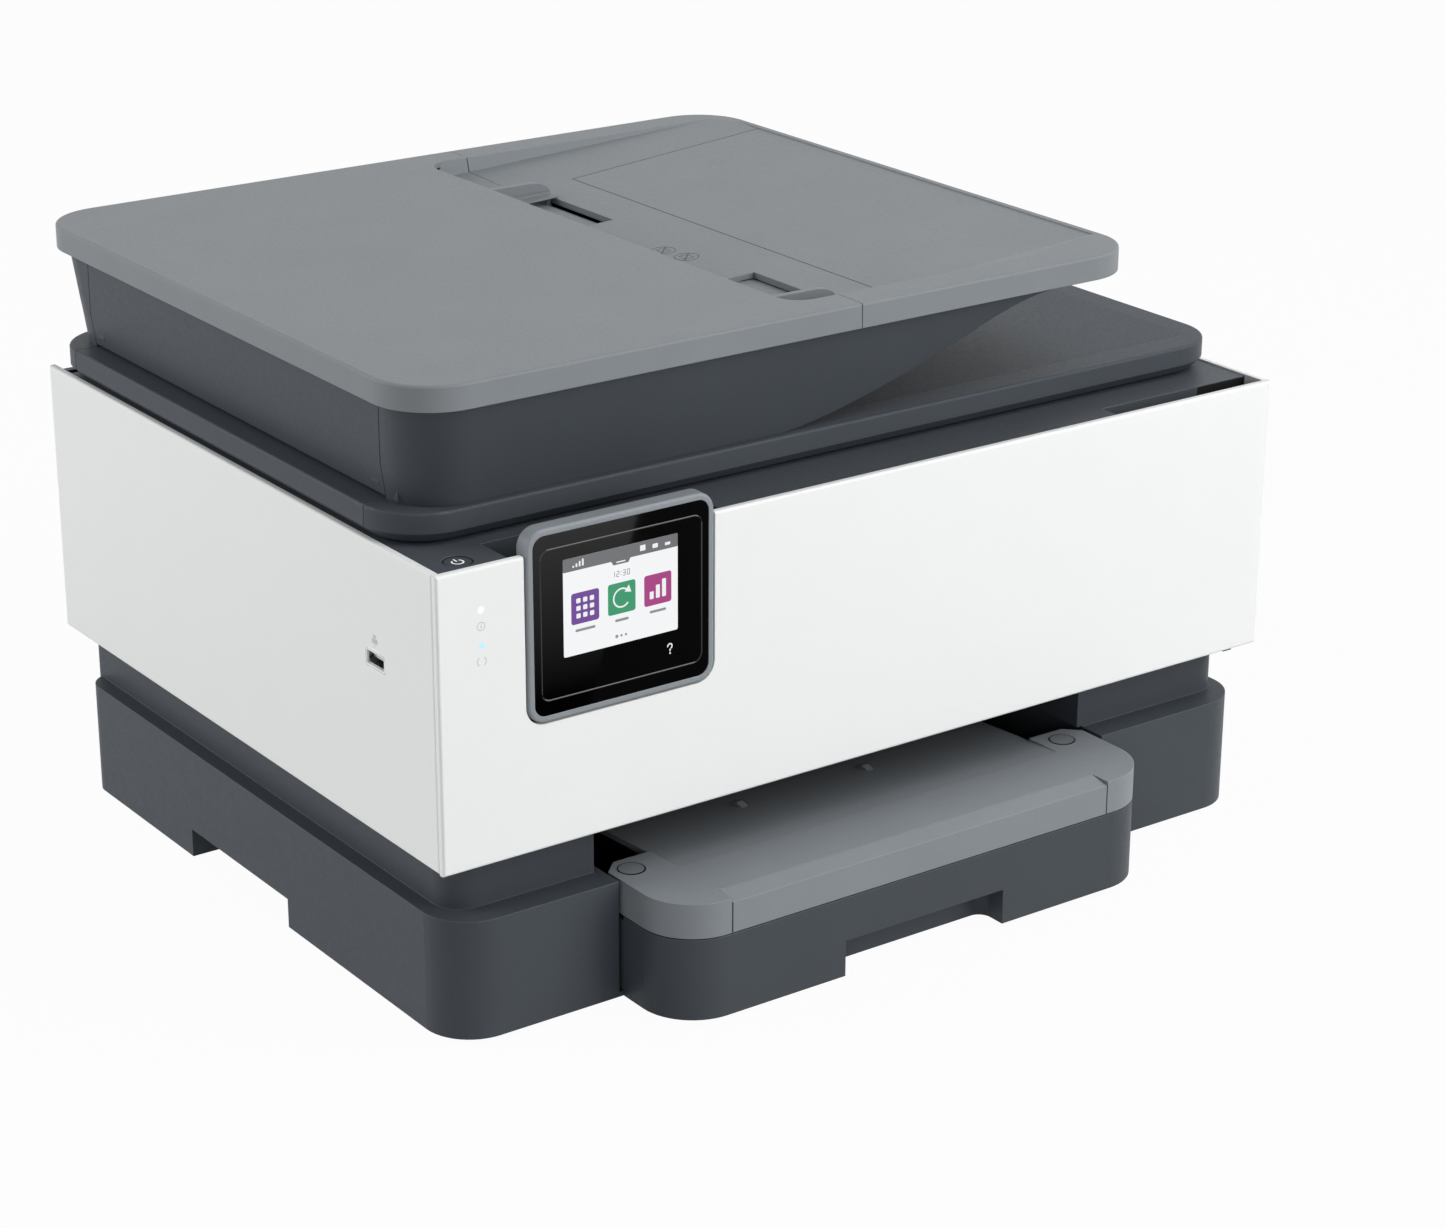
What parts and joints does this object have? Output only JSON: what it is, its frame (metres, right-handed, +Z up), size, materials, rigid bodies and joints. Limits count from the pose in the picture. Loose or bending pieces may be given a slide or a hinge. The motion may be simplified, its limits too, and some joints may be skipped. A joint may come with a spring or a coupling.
{
  "type": "inkjet printer",
  "caption": "Desktop inkjet all-in-one with a document feeder, flatbed lid, tilting touch panel, drop-down front door and sliding paper tray.",
  "frame": {"origin": "middle of the whole outline on the floor, at the underside of the feet", "axes": "+Z up, front with the control panel and paper tray towards -Y, +X to the right seen from the front"},
  "size_m": [0.439, 0.3778, 0.278],
  "materials": {
    "dark_plastic": "satin moulded dark grey",
    "mid_plastic": "satin moulded mid grey",
    "white_plastic": "satin moulded white",
    "tray_plastic": "satin moulded grey",
    "bezel_plastic": "satin moulded grey",
    "gloss_black": "gloss black cover",
    "inner_plastic": "matte black",
    "rubber": "matte black rubber",
    "steel": "plain steel",
    "clear_glass": "polished",
    "clear_plastic": "clear moulded",
    "circuit_board": "green solder mask",
    "ink_cyan": "moulded",
    "ink_magenta": "moulded",
    "ink_yellow": "moulded",
    "ink_black": "moulded"
  },
  "bodies": {
    "chassis": {"base_housing": "dark_plastic", "rubber_feet": "rubber", "engine_frame": "inner_plastic", "guide_rod": "steel", "encoder_strip": "clear_plastic", "platen": "inner_plastic", "drive_belt": "rubber", "carriage_motor": "steel", "cap_station": "inner_plastic", "main_board": "circuit_board", "power_supply": "inner_plastic", "power_inlet": "inner_plastic", "side_panel_left": "white_plastic", "side_panel_right": "white_plastic", "usb_socket": "steel", "socket_network": "inner_plastic", "socket_usb_rear": "steel", "rear_panel": "dark_plastic", "scanner_bed": "dark_plastic", "scan_glass": "clear_glass", "scan_rail": "steel", "hinge_brackets": "dark_plastic"},
    "front_door": {"front_door": "white_plastic", "door_liner": "inner_plastic", "light_pipes": "clear_plastic"},
    "control_panel": {"panel_bezel": "bezel_plastic", "panel_glass": "gloss_black", "panel_screen": "gloss_black"},
    "power_button": {"power_button": "dark_plastic"},
    "lid": {"lid_frame": "dark_plastic", "lid_pad": "white_plastic", "lid_pins": "steel", "feeder_body": "dark_plastic", "feeder_tray": "mid_plastic"},
    "feeder_cover": {"feeder_cover": "mid_plastic", "feeder_end_panel": "dark_plastic"},
    "guide_back": {"guide_back": "mid_plastic"},
    "guide_front": {"guide_front": "mid_plastic"},
    "guide_pinion": {"guide_pinion": "inner_plastic"},
    "feeder_roller": {"feeder_shaft": "steel", "feeder_tyre": "rubber"},
    "paper_tray": {"paper_tray": "dark_plastic", "output_tray": "tray_plastic", "tray_bumpers": "rubber"},
    "output_flap": {"output_flap": "tray_plastic"},
    "paper_guide_left": {"paper_guide_left": "mid_plastic"},
    "paper_guide_right": {"paper_guide_right": "mid_plastic"},
    "paper_stop": {"paper_stop": "mid_plastic"},
    "carriage": {"carriage": "inner_plastic", "cartridge_cyan": "ink_cyan", "cartridge_magenta": "ink_magenta", "cartridge_yellow": "ink_yellow", "cartridge_black": "ink_black"},
    "motor_pulley": {"motor_pulley": "inner_plastic"},
    "idler_pulley": {"idler_pulley": "inner_plastic"},
    "feed_roller": {"feed_roller": "steel"},
    "exit_roller": {"exit_roller": "steel"},
    "idler_gear": {"idler_gear": "inner_plastic"},
    "rear_door": {"rear_door": "dark_plastic"},
    "scan_bar": {"scan_bar": "inner_plastic"}
  },
  "joints": [
    {"name": "front_door_hinge", "type": "hinge", "parent": "chassis", "child": "front_door", "pos_m": [0, -0.14565, 0.0827], "axis": [1, 0, 0], "range_deg": [0, 70]},
    {"name": "control_panel_tilt", "type": "hinge", "parent": "front_door", "child": "control_panel", "pos_m": [-0.13405, -0.14805, 0.2025], "axis": [-1, 0, 0], "range_deg": [0, 35]},
    {"name": "power_button_press", "type": "slide", "parent": "chassis", "child": "power_button", "axis": [0, 0, -1], "range_m": [0, 0.001], "stiffness_N_per_m": 1500, "springref_m": -0.0005},
    {"name": "lid_hinge", "type": "hinge", "parent": "chassis", "child": "lid", "pos_m": [0, 0.17635, 0.2143], "axis": [-1, 0, 0], "range_deg": [0, 75]},
    {"name": "feeder_cover_hinge", "type": "hinge", "parent": "lid", "child": "feeder_cover", "pos_m": [-0.2045, 0.02635, 0.2307], "axis": [0, -1, 0], "range_deg": [0, 65]},
    {"name": "document_guide_slide", "type": "slide", "parent": "lid", "child": "guide_back", "axis": [0, -1, 0], "range_m": [0, 0.05]},
    {"name": "document_guide_front_slide", "type": "slide", "parent": "lid", "child": "guide_front", "axis": [0, 1, 0], "range_m": [0, 0.05]},
    {"name": "guide_pinion_spin", "type": "hinge", "parent": "lid", "child": "guide_pinion", "pos_m": [-0.002, 0.00535, 0.264], "axis": [0, 0, 1], "range_deg": [-612, 0]},
    {"name": "feeder_roller_spin", "type": "hinge", "parent": "lid", "child": "feeder_roller", "pos_m": [-0.07, 0.00535, 0.2501], "axis": [0, 1, 0], "continuous": true},
    {"name": "paper_tray_slide", "type": "slide", "parent": "chassis", "child": "paper_tray", "axis": [0, -1, 0], "range_m": [0, 0.25]},
    {"name": "output_flap_slide", "type": "slide", "parent": "paper_tray", "child": "output_flap", "axis": [0, -1, 0], "range_m": [0, 0.08]},
    {"name": "paper_guide_slide", "type": "slide", "parent": "paper_tray", "child": "paper_guide_left", "axis": [1, 0, 0], "range_m": [0, 0.045]},
    {"name": "paper_guide_right_slide", "type": "slide", "parent": "paper_tray", "child": "paper_guide_right", "axis": [-1, 0, 0], "range_m": [0, 0.045]},
    {"name": "paper_stop_slide", "type": "slide", "parent": "paper_tray", "child": "paper_stop", "axis": [0, 1, 0], "range_m": [0, 0.12]},
    {"name": "carriage_slide", "type": "slide", "parent": "chassis", "child": "carriage", "axis": [-1, 0, 0], "range_m": [0, 0.256]},
    {"name": "motor_pulley_spin", "type": "hinge", "parent": "chassis", "child": "motor_pulley", "pos_m": [-0.194, 0.07835, 0.15], "axis": [0, 0, 1], "range_deg": [-2330, 0]},
    {"name": "idler_pulley_spin", "type": "hinge", "parent": "chassis", "child": "idler_pulley", "pos_m": [0.194, 0.07835, 0.15], "axis": [0, 0, 1], "range_deg": [-2330, 0]},
    {"name": "feed_roller_spin", "type": "hinge", "parent": "chassis", "child": "feed_roller", "pos_m": [0, 0.03635, 0.1044], "axis": [1, 0, 0], "continuous": true},
    {"name": "exit_roller_spin", "type": "hinge", "parent": "chassis", "child": "exit_roller", "pos_m": [0, -0.03365, 0.1044], "axis": [1, 0, 0], "continuous": true},
    {"name": "idler_gear_spin", "type": "hinge", "parent": "chassis", "child": "idler_gear", "pos_m": [0, 0.00135, 0.1044], "axis": [1, 0, 0], "continuous": true},
    {"name": "rear_door_hinge", "type": "hinge", "parent": "chassis", "child": "rear_door", "pos_m": [0, 0.17785, 0.1024], "axis": [-1, 0, 0], "range_deg": [0, 55]},
    {"name": "scan_bar_slide", "type": "slide", "parent": "chassis", "child": "scan_bar", "axis": [1, 0, 0], "range_m": [0, 0.29]}
  ],
  "couplings": [
    {"joint": "document_guide_front_slide", "follows": "document_guide_slide", "ratio": 1},
    {"joint": "guide_pinion_spin", "follows": "document_guide_slide", "rad_per_m": -208.33},
    {"joint": "paper_guide_right_slide", "follows": "paper_guide_slide", "ratio": 1},
    {"joint": "motor_pulley_spin", "follows": "carriage_slide", "rad_per_m": -157.48},
    {"joint": "idler_pulley_spin", "follows": "carriage_slide", "rad_per_m": -157.48},
    {"joint": "exit_roller_spin", "follows": "feed_roller_spin", "ratio": 1},
    {"joint": "idler_gear_spin", "follows": "feed_roller_spin", "ratio": -0.66667}
  ]
}
